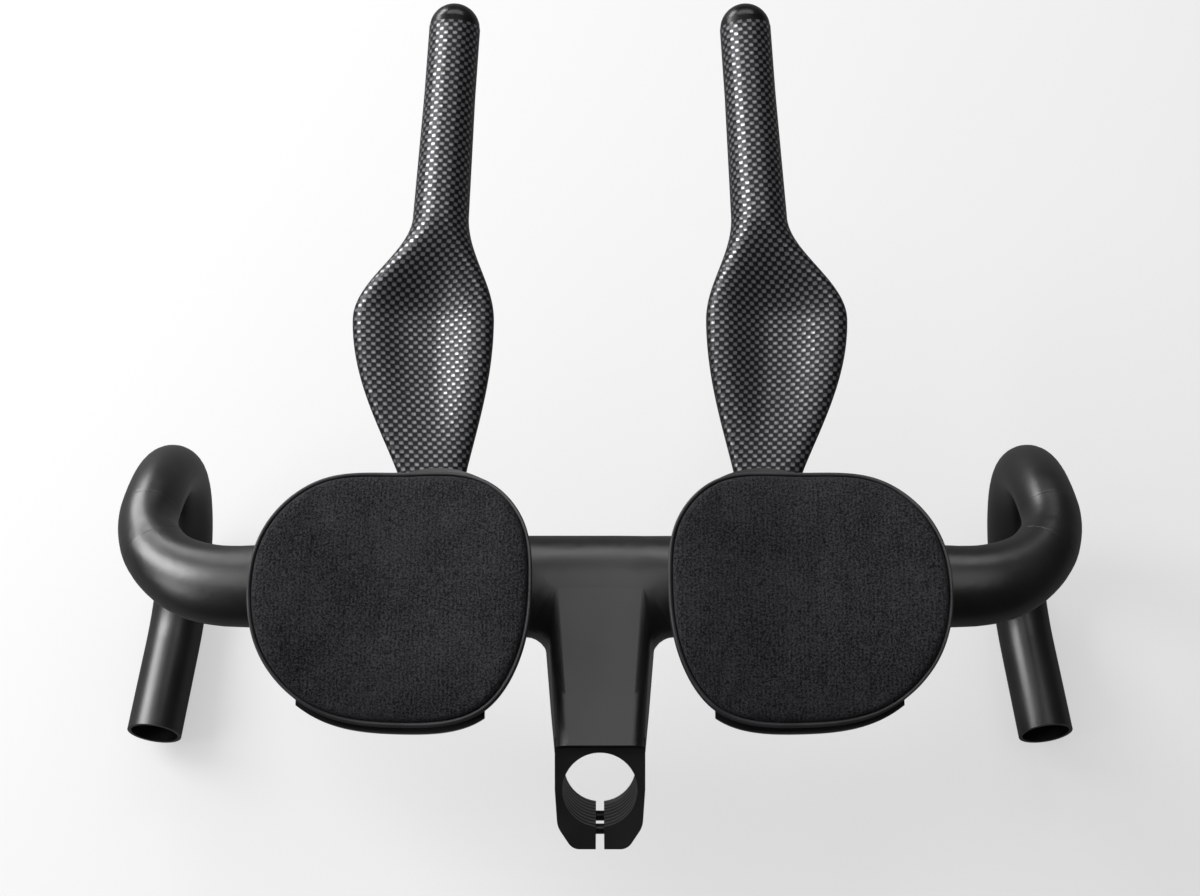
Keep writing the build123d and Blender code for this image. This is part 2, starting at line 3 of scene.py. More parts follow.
import bpy
import numpy as np
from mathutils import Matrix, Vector


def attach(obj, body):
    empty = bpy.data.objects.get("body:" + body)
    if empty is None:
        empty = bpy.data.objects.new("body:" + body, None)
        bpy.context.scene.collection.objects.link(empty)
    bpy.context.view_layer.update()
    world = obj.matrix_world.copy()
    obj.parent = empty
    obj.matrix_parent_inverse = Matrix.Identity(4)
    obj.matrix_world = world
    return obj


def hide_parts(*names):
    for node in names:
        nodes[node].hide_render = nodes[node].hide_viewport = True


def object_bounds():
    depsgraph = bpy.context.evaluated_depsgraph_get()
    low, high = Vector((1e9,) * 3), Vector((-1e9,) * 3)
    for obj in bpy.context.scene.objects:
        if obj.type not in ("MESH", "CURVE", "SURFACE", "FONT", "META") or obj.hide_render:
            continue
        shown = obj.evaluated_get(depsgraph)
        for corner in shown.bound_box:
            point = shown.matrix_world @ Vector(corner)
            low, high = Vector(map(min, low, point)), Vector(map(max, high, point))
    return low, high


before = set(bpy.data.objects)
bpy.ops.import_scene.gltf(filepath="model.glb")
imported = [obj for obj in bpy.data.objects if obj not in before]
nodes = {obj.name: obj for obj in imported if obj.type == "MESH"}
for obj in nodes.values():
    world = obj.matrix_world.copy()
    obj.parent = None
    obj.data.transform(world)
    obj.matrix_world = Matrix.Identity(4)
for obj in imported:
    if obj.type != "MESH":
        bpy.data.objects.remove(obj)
cad_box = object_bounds()

MM = 0.001
STEERER_LEAN = radians(24.0)
# Ribs of the steerer bore: their pitch, and the radii between which they fade out. Metres.
RIB_PITCH = 0.0048
RIB_FADE = (0.01432, 0.01442)
# Width and length of a cell of the weave, in millimetres, and the pad's knit columns, in metres
WEAVE_CELL = (1.85, 1.7)
KNIT_PITCH = 0.0016

# Deck that carries each extension, cup and pad, right side; the left side mirrors it. Millimetres.
DECK_ORIGIN = np.array([65.0, 72.2, 37.0])
DECK_TILT = radians(6.0)
DECK_X = np.array([1.0, 0.0, 0.0])
DECK_Y = np.array([0.0, cos(DECK_TILT), sin(DECK_TILT)])
DECK_Z = np.array([0.0, -sin(DECK_TILT), cos(DECK_TILT)])


def deck_points(local):
    """Deck coordinates in millimetres to the shared frame in metres."""
    local = np.asarray(local, float)
    world = DECK_ORIGIN + local[:, :1] * DECK_X + local[:, 1:2] * DECK_Y + local[:, 2:3] * DECK_Z
    return world * MM


def mesh_object(name, points, faces, side=1, **maps):
    """New smooth mesh from points in metres, with named surface maps; side -1 mirrors it to the left."""
    points = np.array(points, float)
    faces = [tuple(int(i) for i in face) for face in faces]
    if side < 0:
        points[:, 0] *= -1
        faces = [face[::-1] for face in faces]
    mesh = bpy.data.meshes.new(name)
    mesh.from_pydata(points.tolist(), [], faces)
    corners = np.empty(len(mesh.loops), int)
    mesh.loops.foreach_get("vertex_index", corners)
    for map_name, values in maps.items():
        layer = mesh.uv_layers.new(name=map_name)
        layer.data.foreach_set("uv", np.array(values, float)[corners].ravel())
    mesh.polygons.foreach_set("use_smooth", [True] * len(mesh.polygons))
    mesh.update()
    obj = bpy.data.objects.new(name, mesh)
    bpy.context.scene.collection.objects.link(obj)
    return obj


def ring_faces(rings, count, closed=True):
    """Quads between successive rings of count points."""
    faces = []
    last = count if closed else count - 1
    for ring in range(rings - 1):
        a = ring * count
        b = a + count
        for k in range(last):
            n = (k + 1) % count
            faces.append((a + k, a + n, b + n, b + k))
    return faces


# Materials


class Shader:
    """Small helper round a material's node tree."""

    def __init__(self, name):
        self.material = bpy.data.materials.new(name)
        self.material.use_nodes = True
        self.tree = self.material.node_tree
        self.bsdf = self.tree.nodes["Principled BSDF"]

    def set(self, **values):
        for key, value in values.items():
            self.bsdf.inputs[key.replace("_", " ")].default_value = value

    def node(self, kind, **values):
        node = self.tree.nodes.new(kind)
        for key, value in values.items():
            setattr(node, key, value)
        return node

    def link(self, out, into):
        self.tree.links.new(out, into)

    def feed(self, node, index, value):
        if hasattr(value, "links"):
            self.link(value, node.inputs[index])
        else:
            node.inputs[index].default_value = value

    def math(self, operation, a, b=0.0):
        node = self.node("ShaderNodeMath", operation=operation)
        self.feed(node, 0, a)
        self.feed(node, 1, b)
        return node.outputs[0]

    def mix(self, share, a, b):
        """Colour between a and b."""
        node = self.node("ShaderNodeMix", data_type="RGBA")
        self.feed(node, 0, share)
        self.feed(node, 6, a)
        self.feed(node, 7, b)
        return node.outputs[2]

    def ramp(self, value, low, high, out_low=0.0, out_high=1.0):
        node = self.node("ShaderNodeMapRange")
        node.interpolation_type = "SMOOTHSTEP"
        for index, item in enumerate((value, low, high, out_low, out_high)):
            self.feed(node, index, item)
        return node.outputs[0]

    def noise(self, vector, scale, detail=3.0, roughness=0.55):
        node = self.node("ShaderNodeTexNoise")
        self.link(vector, node.inputs["Vector"])
        node.inputs["Scale"].default_value = scale
        node.inputs["Detail"].default_value = detail
        node.inputs["Roughness"].default_value = roughness
        return node.outputs[0]

    def place(self):
        return self.node("ShaderNodeTexCoord").outputs["Object"]

    def vector(self, operation, a, b=(0.0, 0.0, 0.0)):
        """Vector operation; its outputs are the vector and the value."""
        node = self.node("ShaderNodeVectorMath", operation=operation)
        self.feed(node, 0, a)
        self.feed(node, 1, b)
        return node.outputs

    def bump(self, height, strength, distance, normal=None):
        node = self.node("ShaderNodeBump")
        node.inputs["Strength"].default_value = strength
        node.inputs["Distance"].default_value = distance
        self.link(height, node.inputs["Height"])
        if normal is not None:
            self.link(normal, node.inputs["Normal"])
        return node.outputs[0]


def satin_carbon(name, ribbed=False):
    """Black satin lacquer: faint mottling in tone and gloss, very fine orange peel."""
    s = Shader(name)
    place = s.place()
    broad = s.noise(place, 38.0, 4.0)
    fine = s.noise(place, 900.0, 2.0)
    tone = s.mix(s.ramp(broad, 0.3, 0.7), (0.006, 0.006, 0.007, 1), (0.010, 0.010, 0.011, 1))
    normal = s.bump(fine, 0.08, 0.0002)
    if ribbed:
        # Fine ribs round the wall of the steerer bore, in the bump; their crests are also painted lighter, a
        # painted highlight
        axis = (0.0, -sin(STEERER_LEAN), cos(STEERER_LEAN))
        position = s.node("ShaderNodeNewGeometry").outputs["Position"]
        along = s.vector("DOT_PRODUCT", position, axis)[1]
        radius = s.vector("LENGTH", s.vector("CROSS_PRODUCT", position, axis)[0])[1]
        inside = s.ramp(radius, *RIB_FADE, 1.0, 0.0)
        rib = s.math("SINE", s.math("MULTIPLY", along, 2 * pi / RIB_PITCH))
        normal = s.bump(s.math("MULTIPLY", rib, inside), 0.9, 0.0004, normal)
        # Painted highlight: the rib crests are painted lighter than the black lacquer
        tone = s.mix(s.math("MULTIPLY", s.ramp(rib, -0.4, 0.6), inside), tone, (0.030, 0.030, 0.032, 1))
    s.link(tone, s.bsdf.inputs["Base Color"])
    s.link(s.ramp(broad, 0.25, 0.75, 0.33, 0.39), s.bsdf.inputs["Roughness"])
    s.link(normal, s.bsdf.inputs["Normal"])
    s.set(Specular_IOR_Level=0.8)
    return s.material


def woven_carbon():
    """Plain woven carbon under lacquer; the weave follows the surface coordinates in millimetres."""
    s = Shader("woven_carbon")
    uv = s.node("ShaderNodeUVMap", uv_map="surface").outputs[0]
    split = s.node("ShaderNodeSeparateXYZ")
    s.link(uv, split.inputs[0])
    place = s.place()
    drift = s.math("MULTIPLY", s.math("SUBTRACT", s.noise(place, 70.0), 0.5), 0.45)
    across = s.math("ADD", s.math("MULTIPLY", split.outputs[0], 1 / WEAVE_CELL[0]), drift)
    along = s.math("ADD", s.math("MULTIPLY", split.outputs[1], 1 / WEAVE_CELL[1]), drift)
    cell = s.math("ADD", s.math("FLOOR", across), s.math("FLOOR", along))
    weft = s.math("ROUND", s.math("FRACT", s.math("MULTIPLY", cell, 0.5)))
    wave_across = s.math("SINE", s.math("MULTIPLY", s.math("FRACT", across), pi))
    wave_along = s.math("SINE", s.math("MULTIPLY", s.math("FRACT", along), pi))
    # The weft and warp pattern is the weave's own; each weft tow is also painted lightest along its crown, a
    # painted highlight, and the crown shapes the bump
    crown = s.math("MULTIPLY", s.math("POWER", wave_across, 0.5), wave_along)
    fibre = s.noise(place, 700.0, 3.0, 0.7)
    tow_with_painted_light = s.math("MULTIPLY", s.math("MULTIPLY", weft, crown), s.ramp(fibre, 0.25, 0.7, 0.45, 1.15))
    # The weave shows on the upper face and fades to black round the rim and below: partly plain black lacquer
    # at the rim, partly painted shade on the flanks and underside
    crest = s.node("ShaderNodeSeparateXYZ")
    s.link(s.node("ShaderNodeUVMap", uv_map="crest").outputs[0], crest.inputs[0])
    tow_with_painted_light = s.math("MULTIPLY", tow_with_painted_light, s.ramp(crest.outputs[0], 0.05, 0.6, 0.06, 1.0))
    s.link(s.mix(tow_with_painted_light, (0.006, 0.006, 0.007, 1), (0.29, 0.295, 0.31, 1)), s.bsdf.inputs["Base Color"])
    s.link(s.ramp(tow_with_painted_light, 0.0, 1.0, 0.0, 0.85), s.bsdf.inputs["Metallic"])
    s.link(s.ramp(tow_with_painted_light, 0.0, 1.0, 0.36, 0.28), s.bsdf.inputs["Roughness"])
    s.link(s.bump(crown, 0.3, 0.00025), s.bsdf.inputs["Normal"])
    s.set(Specular_IOR_Level=0.2, Coat_Weight=0.12, Coat_Roughness=0.22)
    return s.material


def pad_fabric():
    """Black napped jersey: fine fuzzy grain, faint knit columns, soft sheen."""
    s = Shader("pad_fabric")
    place = s.place()
    split = s.node("ShaderNodeSeparateXYZ")
    s.link(place, split.inputs[0])
    wander = s.math("MULTIPLY", s.noise(place, 140.0, 2.0), 9.0)
    columns = s.math("SINE", s.math("ADD", s.math("MULTIPLY", split.outputs[0], 2 * pi / KNIT_PITCH), wander))
    grain = s.noise(place, 1500.0, 3.0, 0.6)
    worn = s.noise(place, 45.0, 3.0)
    mixed = s.math("ADD", s.math("MULTIPLY", grain, 0.85), s.math("MULTIPLY", worn, 0.15))
    mixed = s.math("ADD", mixed, s.math("MULTIPLY", columns, 0.025))
    tone = s.ramp(mixed, 0.34, 0.68)
    s.link(s.mix(tone, (0.001, 0.001, 0.0012, 1), (0.033, 0.033, 0.037, 1)), s.bsdf.inputs["Base Color"])
    s.link(s.ramp(grain, 0.3, 0.7, 0.95, 0.8), s.bsdf.inputs["Roughness"])
    s.link(s.bump(mixed, 0.8, 0.0008), s.bsdf.inputs["Normal"])
    s.set(Specular_IOR_Level=0.15, Sheen_Weight=0.03, Sheen_Roughness=0.5)
    return s.material


def foam_band(name, low, high):
    """Smooth black skin of the pad's side and piping, with a fine grain."""
    s = Shader(name)
    place = s.place()
    grain = s.noise(place, 1100.0, 3.0)
    broad = s.noise(place, 60.0, 2.0)
    s.link(s.mix(s.ramp(broad, 0.3, 0.7), (low, low, low * 1.1, 1), (high, high, high * 1.1, 1)),
           s.bsdf.inputs["Base Color"])
    s.link(s.ramp(grain, 0.3, 0.7, 0.5, 0.62), s.bsdf.inputs["Roughness"])
    s.link(s.bump(grain, 0.2, 0.0003), s.bsdf.inputs["Normal"])
    return s.material


def cap_rubber():
    """Glossy black moulded cap with slight flow marks."""
    s = Shader("cap_rubber")
    place = s.place()
    broad = s.noise(place, 160.0, 3.0)
    s.link(s.mix(s.ramp(broad, 0.3, 0.7), (0.004, 0.004, 0.0045, 1), (0.008, 0.008, 0.0085, 1)),
           s.bsdf.inputs["Base Color"])
    s.link(s.ramp(broad, 0.25, 0.75, 0.22, 0.30), s.bsdf.inputs["Roughness"])
    s.link(s.bump(s.noise(place, 1400.0, 2.0), 0.06, 0.0002), s.bsdf.inputs["Normal"])
    s.set(Specular_IOR_Level=0.35)
    return s.material


def black_metal(name, low, high, rough_low, rough_high):
    """Dark coated metal with fine blasted grain."""
    s = Shader(name)
    place = s.place()
    grain = s.noise(place, 1800.0, 3.0)
    broad = s.noise(place, 90.0, 3.0)
    s.link(s.mix(s.ramp(broad, 0.3, 0.7), (low, low, low * 1.05, 1), (high, high, high * 1.05, 1)),
           s.bsdf.inputs["Base Color"])
    s.link(s.ramp(grain, 0.3, 0.7, rough_low, rough_high), s.bsdf.inputs["Roughness"])
    s.link(s.bump(grain, 0.15, 0.0002), s.bsdf.inputs["Normal"])
    s.set(Metallic=0.6)
    return s.material


SATIN = satin_carbon("satin_carbon")
BAR = satin_carbon("bar_satin_carbon", ribbed=True)
WOVEN = woven_carbon()
FABRIC = pad_fabric()
FOAM = foam_band("foam_band", 0.006, 0.012)
PIPING = foam_band("piping", 0.012, 0.03)
RUBBER = cap_rubber()
ALLOY = black_metal("black_alloy", 0.02, 0.035, 0.38, 0.5)
STEEL = black_metal("black_steel", 0.025, 0.05, 0.28, 0.4)


def dress(obj, material):
    obj.data.materials.clear()
    obj.data.materials.append(material)


def keep(piece, material, slot, *replaced):
    """Dress a new piece, fix it to the object and hide the solids it stands for."""
    dress(piece, material)
    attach(piece, "root")
    if replaced:
        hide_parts(*replaced)


node_materials = {
    "bar_and_stem": BAR,
    "arm_cup": SATIN,
    "end_cap": RUBBER,
    "clamp_saddle": ALLOY,
    "clamp_cap": ALLOY,
    "clamp_bolts": STEEL,
    "cup_bolts": STEEL,
    "steerer_clamp_bolts": STEEL,
    "steerer_clamp_nuts": STEEL,
    "pad_strips": FOAM,
}
for node_name, node_object in nodes.items():
    plain = node_name.replace("left_", "").replace("right_", "")
    if plain in node_materials:
        dress(node_object, node_materials[plain])

# Extensions: foot, neck, dished scoop and tapering grip tube. Millimetres in deck coordinates.
FOOT_REAR = -30.0
FOOT_FRONT = 24.0
FOOT_HALF = (13.5, 5.0)
NECK_AT = 37.0
NECK_HALF = (13.0, 4.5)
WIDEST_AT = 98.5
SCOOP_HALF = (27.65, 8.5)
SCOOP_BULGE = 4.2
SCOOP_DISH = 9.5
SCOOP_FULLNESS = 1.1
FOOT_SQUARENESS = 6.0
NECK_SQUARENESS = 3.0
SCOOP_SQUARENESS = 2.4
ROUND = 2.0
ROOT_AT = 140.0
ROOT_SHIFT = -2.2
ROOT_RADIUS = 11.0
GRIP_RISE = tan(radians(5.0))
GRIP_TOE = tan(radians(3.35))
GRIP_TAPER = 50.0
GRIP_SEAT = 28.2
GRIP_SEAT_RADIUS = 10.15
AROUND = 128


def between(start, end, share):
    return start + (end - start) * share


def section(half_width, half_height, squareness, dish):
    """Closed section with its top dished between two rims, as rows of across and up."""
    angle = 2 * pi * (np.arange(AROUND) + 0.5) / AROUND
    across = np.abs(np.cos(angle)) ** (2 / squareness)
    upward = np.abs(np.sin(angle)) ** (2 / squareness)
    hollow = np.where(np.sin(angle) > 0, dish * (1 - across**2) ** 2, 0)
    return np.column_stack(
        (np.sign(np.cos(angle)) * half_width * across, np.sign(np.sin(angle)) * half_height * upward - hollow)
    )


def extension_rings():
    """Rings of points from the rear of the foot to the mouth of the grip."""
    middle = FOOT_HALF[1]
    rings = []

    def add(place, shift, outline, lean=0.0):
        centre = np.array([shift, place, middle + GRIP_RISE * max(place - NECK_AT, 0)])
        forward = np.array([-GRIP_TOE * lean, 1.0, GRIP_RISE * lean])
        forward = forward / np.linalg.norm(forward)
        up = np.array([0.0, 0.0, 1.0]) - forward * forward[2]
        up = up / np.linalg.norm(up)
        side = np.cross(forward, up)
        rings.append(centre + outline[:, :1] * side + outline[:, 1:2] * up)

    for place in np.linspace(FOOT_REAR, FOOT_FRONT, 12):
        add(place, 0, section(*FOOT_HALF, FOOT_SQUARENESS, 0))
    for share in np.linspace(0, 1, 7)[1:-1]:
        half = (between(FOOT_HALF[0], NECK_HALF[0], share), between(FOOT_HALF[1], NECK_HALF[1], share))
        squareness = between(FOOT_SQUARENESS, NECK_SQUARENESS, share)
        add(between(FOOT_FRONT, NECK_AT, share), 0, section(*half, squareness, 0))
    for share in np.linspace(0, 1, 40):
        swell = sin(pi / 2 * share) ** SCOOP_FULLNESS
        half = (between(NECK_HALF[0], SCOOP_HALF[0], swell), between(NECK_HALF[1], SCOOP_HALF[1], swell))
        squareness = between(NECK_SQUARENESS, SCOOP_SQUARENESS, share)
        outline = section(*half, squareness, SCOOP_DISH * swell)
        add(between(NECK_AT, WIDEST_AT, share), SCOOP_BULGE * swell, outline)
    for share in np.linspace(0, 1, 26)[1:]:
        swell = cos(pi / 2 * share) ** 2
        half = (between(ROOT_RADIUS, SCOOP_HALF[0], swell), between(ROOT_RADIUS, SCOOP_HALF[1], swell))
        squareness = between(ROUND, SCOOP_SQUARENESS, swell)
        outline = section(*half, squareness, SCOOP_DISH * swell)
        add(between(WIDEST_AT, ROOT_AT, share), between(ROOT_SHIFT, SCOOP_BULGE, swell), outline, share)
    along = 1 / np.linalg.norm([GRIP_TOE, 1.0, GRIP_RISE])
    for place in np.linspace(0, GRIP_TAPER + GRIP_SEAT, 36)[1:]:
        radius = between(ROOT_RADIUS, GRIP_SEAT_RADIUS, min(place / GRIP_TAPER, 1.0))
        reach = place * along
        add(ROOT_AT + reach, ROOT_SHIFT - GRIP_TOE * reach, section(radius, radius, ROUND, 0), 1.0)
    return np.array(rings)


def surface_uv(rings):
    """Distance round each ring and along the rings in millimetres, with a column repeated at the seam."""
    closed = np.concatenate((rings, rings[:, :1]), axis=1)
    steps = np.linalg.norm(np.diff(closed, axis=1), axis=2)
    around = np.concatenate((np.zeros((len(rings), 1)), np.cumsum(steps, axis=1)), axis=1)
    around -= around[:, -1:] / 2
    middle = rings.mean(axis=1)
    forward = np.concatenate(([0], np.cumsum(np.linalg.norm(np.diff(middle, axis=0), axis=1))))
    return closed, np.stack((around, np.repeat(forward[:, None], closed.shape[1], axis=1)), axis=2)


for side, side_name in ((1, "right"), (-1, "left")):
    rings = np.roll(extension_rings(), AROUND // 4, axis=1)
    closed, uv = surface_uv(rings)
    count = closed.shape[1]
    points = deck_points(closed.reshape(-1, 3))
    faces = ring_faces(len(closed), count, closed=False)
    faces.append(tuple(range(count - 1))[::-1])
    last = (len(closed) - 1) * count
    faces.append(tuple(range(last, last + count - 1)))
    crest = np.roll(np.sin(2 * pi * (np.arange(AROUND) + 0.5) / AROUND), AROUND // 4)
    crest = np.tile(np.append(crest, crest[0]), len(closed))
    maps = {"surface": uv.reshape(-1, 2), "crest": np.column_stack((crest, crest))}
    piece = mesh_object(side_name + "_woven_extension", points, faces, side, **maps)
    keep(piece, WOVEN, "gloss_carbon", side_name + "_extension")

# Skin over each bend, where the solid's shoulder and drop tube meet in a slight step. Millimetres.
BEND_FROM = np.array([143.7, 72.2, 18.3])
DROP_HALF_WIDTH = 186.7
BEND_RUN = DROP_HALF_WIDTH - BEND_FROM[0]
SPLAY_SLOPE = tan(radians(6.0))
FLARE_SLOPE = tan(radians(3.4))
DIVE = radians(27.0)
SHOULDER_HALF = (16.25, 11.95)
TUBE_RADIUS = 11.9
ROUND_SHARE = 0.94
SKIN_SHARES = (0.62, 0.985)
SKIN_RINGS = 64
SKIN_AROUND = 96
SKIN_THICKNESS = 0.02
SKIN_TUCK = 0.2
SKIN_PASSES = 6


def unit(vector):
    return np.asarray(vector, float) / np.linalg.norm(vector)


def bend_frame(share):
    """Centre of the bend that far along it, with its fore-and-aft and upward directions."""
    normal = unit((1.0, SPLAY_SLOPE, FLARE_SLOPE))
    forward = unit((-SPLAY_SLOPE, 1.0, 0.0))
    start = np.array([1.0, 0.0, 0.0])
    end = forward * cos(DIVE) - np.cross(normal, forward) * sin(DIVE)
    turn = acos(start @ end)
    radius = BEND_RUN / tan(turn / 2)
    inward = unit(end - start * cos(turn))
    angle = turn * share
    centre = BEND_FROM + radius * (start * sin(angle) + inward * (1 - cos(angle)))
    along = start * cos(angle) + inward * sin(angle)
    up = unit(np.array([0.0, 0.0, 1.0]) - along * along[2])
    return centre, np.cross(up, along), up


def skin_radii(solid):
    """Radii of the skin by ring and angle: the oval that the bend runs through, nowhere inside the solid."""
    into = solid.matrix_world.inverted()
    turn = into.to_3x3()
    angles = np.linspace(0, 2 * pi, SKIN_AROUND, endpoint=False)
    ideal = np.zeros((SKIN_RINGS, SKIN_AROUND))
    found = np.zeros((SKIN_RINGS, SKIN_AROUND))
    for ring, share in enumerate(np.linspace(*SKIN_SHARES, SKIN_RINGS)):
        centre, side, up = bend_frame(share)
        rounding = (1 - cos(pi * min(share / ROUND_SHARE, 1.0))) / 2
        half = [between(size, TUBE_RADIUS, rounding) for size in SHOULDER_HALF]
        ideal[ring] = 1 / np.hypot(np.cos(angles) / half[0], np.sin(angles) / half[1])
        for k, angle in enumerate(angles):
            outward = side * cos(angle) + up * sin(angle)
            start = Vector((centre + outward * 2 * TUBE_RADIUS) * MM)
            hit, place, _, _ = solid.ray_cast(into @ start, turn @ Vector(-outward))
            place = np.array(solid.matrix_world @ place) / MM
            found[ring, k] = outward @ (place - centre) if hit else ideal[ring, k]
    radii = np.maximum(ideal, found)
    for _ in range(SKIN_PASSES):
        near = (np.roll(radii, 1, axis=1) + np.roll(radii, -1, axis=1)) / 2
        radii[1:-1] = (radii[1:-1] + near[1:-1] + (radii[:-2] + radii[2:]) / 2) / 3
        radii = np.maximum(radii, found)
    radii += SKIN_THICKNESS
    radii[[0, -1]] = found[[0, -1]] - SKIN_TUCK
    return radii


bpy.context.view_layer.update()
skin = skin_radii(nodes["bar_and_stem"])
for side, side_name in ((1, "right"), (-1, "left")):
    angles = np.linspace(0, 2 * pi, SKIN_AROUND, endpoint=False)[:, None]
    rings = []
    for ring, share in enumerate(np.linspace(*SKIN_SHARES, SKIN_RINGS)):
        centre, across, up = bend_frame(share)
        rings.append(centre + skin[ring][:, None] * (across * np.cos(angles) + up * np.sin(angles)))
    faces = ring_faces(SKIN_RINGS, SKIN_AROUND)
    piece = mesh_object(side_name + "_bend_skin", np.concatenate(rings) * MM, faces, side=side)
    keep(piece, SATIN, "satin_carbon")

# Pads: dished fabric top with a rolled edge, sewn piping and a smooth side band. Millimetres.
PAD_CENTRE = np.array([12.7, -13.4])
PAD_HALF = np.array([52.85, 48.25])
PAD_OUTLINE = np.array(
    [
        (-0.05, 1.0),
        (-0.66, 0.92),
        (-0.945, 0.56),
        (-1.0, 0.12),
        (-0.94, -0.42),
        (-0.67, -0.88),
        (-0.07, -1.0),
        (0.53, -0.88),
        (0.89, -0.50),
        (1.0, 0.02),
        (0.89, 0.56),
        (0.51, 0.94),
    ]
)
TROUGH_AXIS = 163.5
PAD_BASE_RADIUS = 149.0
PAD_TOP_RADIUS = 136.0


def periodic_spline(points, count):
    """Smooth closed curve through the points, by chord length."""
    chord = np.linalg.norm(np.roll(points, -1, axis=0) - points, axis=1)
    n = len(points)
    matrix = np.zeros((n, n))
    right = np.zeros((n, 2))
    for i in range(n):
        before, after = chord[i - 1], chord[i]
        matrix[i, i - 1] += before
        matrix[i, i] += 2 * (before + after)
        matrix[i, (i + 1) % n] += after
        right[i] = 6 * ((points[(i + 1) % n] - points[i]) / after - (points[i] - points[i - 1]) / before)
    second = np.linalg.solve(matrix, right)
    start = np.concatenate(([0], np.cumsum(chord)))
    curve = []
    for place in np.linspace(0, start[-1], count, endpoint=False):
        i = min(int(np.searchsorted(start, place, "right")) - 1, n - 1)
        j = (i + 1) % n
        h = chord[i]
        a = (start[i + 1] - place) / h
        b = 1 - a
        bend = ((a**3 - a) * second[i] + (b**3 - b) * second[j]) * h**2 / 6
        curve.append(a * points[i] + b * points[j] + bend)
    return np.array(curve)


GRID = 32
SEAM_COUNT = 8 * GRID
outline = periodic_spline(PAD_OUTLINE * PAD_HALF, SEAM_COUNT)
corner = int(np.argmax(outline[:, 0] * PAD_HALF[1] - outline[:, 1] * PAD_HALF[0]))
outline = np.roll(outline, -corner, axis=0)
if np.cross(outline[0], outline[SEAM_COUNT // 8]) < 0:
    outline = np.roll(outline[::-1], 1, axis=0)
tangent = np.roll(outline, -1, axis=0) - np.roll(outline, 1, axis=0)
tangent /= np.linalg.norm(tangent, axis=1)[:, None]
outward = np.column_stack((tangent[:, 1], -tangent[:, 0]))
support = (outward * outline).sum(axis=1)

# Insets from the outline and heights above the pad's base
SEAM_HEIGHT = 7.4
SEAM_INSET = 1.9
ROLL_WIDTH = 17.0
PAD_RISE = PAD_BASE_RADIUS - PAD_TOP_RADIUS
FILL_RISE = 1.2
FILL_LIMIT = 2.0
FILL_FRAMES = 20
NET_SPREAD = 1.2
ROLL_SHAPE = 2.4
CLOSING_SHARES = (0.8, 0.6, 0.4, 0.2, 0.02)
SEAM_TUCK = (SEAM_INSET + 0.3, SEAM_HEIGHT - 0.7)
COVER_UNDER = (SEAM_INSET + 1.2, SEAM_HEIGHT - 1.2)
BAND_TOP = (3.4, 5.6)
BAND_UNDER = (1.4, 0.0)
BAND_ROWS = ((3.4, 6.2), (1.5, 6.5), (0.7, 6.1), (0.35, 5.2), (0.35, 2.0), (0.7, 0.5), BAND_UNDER)
PIPING_INSET = 1.1
PIPING_HEIGHT = SEAM_HEIGHT - 0.45
PIPING_RADIUS = 0.75
PIPING_AROUND = 12


def trough_height(x, radius):
    """Height of the trough's surface that far across its middle."""
    return TROUGH_AXIS - np.sqrt(radius**2 - x**2)


def pad_ring(share, inset, height, around=slice(None)):
    """Points of the outline drawn in by share and inset, at a height above the pad's base."""
    flat = (outline[around] - outward[around] * inset) * share
    base = trough_height(flat[:, 0], PAD_BASE_RADIUS)
    return np.column_stack((flat + PAD_CENTRE, base + height))


def pad_cover():
    """Square net of points drawn over the pad, from its middle out to the seam, and its faces."""
    size = 2 * GRID + 1
    points = []
    for row in range(size):
        for column in range(size):
            a, b = column - GRID, row - GRID
            ring = max(abs(a), abs(b))
            if a == ring:
                step = b + ring
            elif b == ring:
                step = 3 * ring - a
            elif a == -ring:
                step = 5 * ring - b
            else:
                step = 7 * ring + a
            around = [0] if ring == 0 else [round(step * SEAM_COUNT / (8 * ring)) % SEAM_COUNT]
            share = 1 - (1 - ring / GRID) ** NET_SPREAD
            edge = (1 - share) * support[around]
            t = np.clip(1 - edge / ROLL_WIDTH, 0, 1)
            roll = 1 - (1 - t**ROLL_SHAPE) ** (1 / ROLL_SHAPE)
            height = PAD_RISE - FILL_RISE - (PAD_RISE - FILL_RISE - SEAM_HEIGHT) * roll
            points.append(pad_ring(share, SEAM_INSET, height, around)[0])
    faces = []
    for row in range(size - 1):
        for column in range(size - 1):
            a = row * size + column
            faces.append((a, a + 1, a + size + 1, a + size))
    last = size - 1
    border = [row * size + last for row in range(last)]
    border += [last * size + column for column in range(last, 0, -1)]
    border += [row * size for row in range(last, 0, -1)]
    border += list(range(last))
    return np.array(points), faces, border


def closing_rings(inset, height):
    """Rings from near the outline in to the middle, for a face that follows the trough."""
    return [pad_ring(share, inset, height) for share in CLOSING_SHARES]


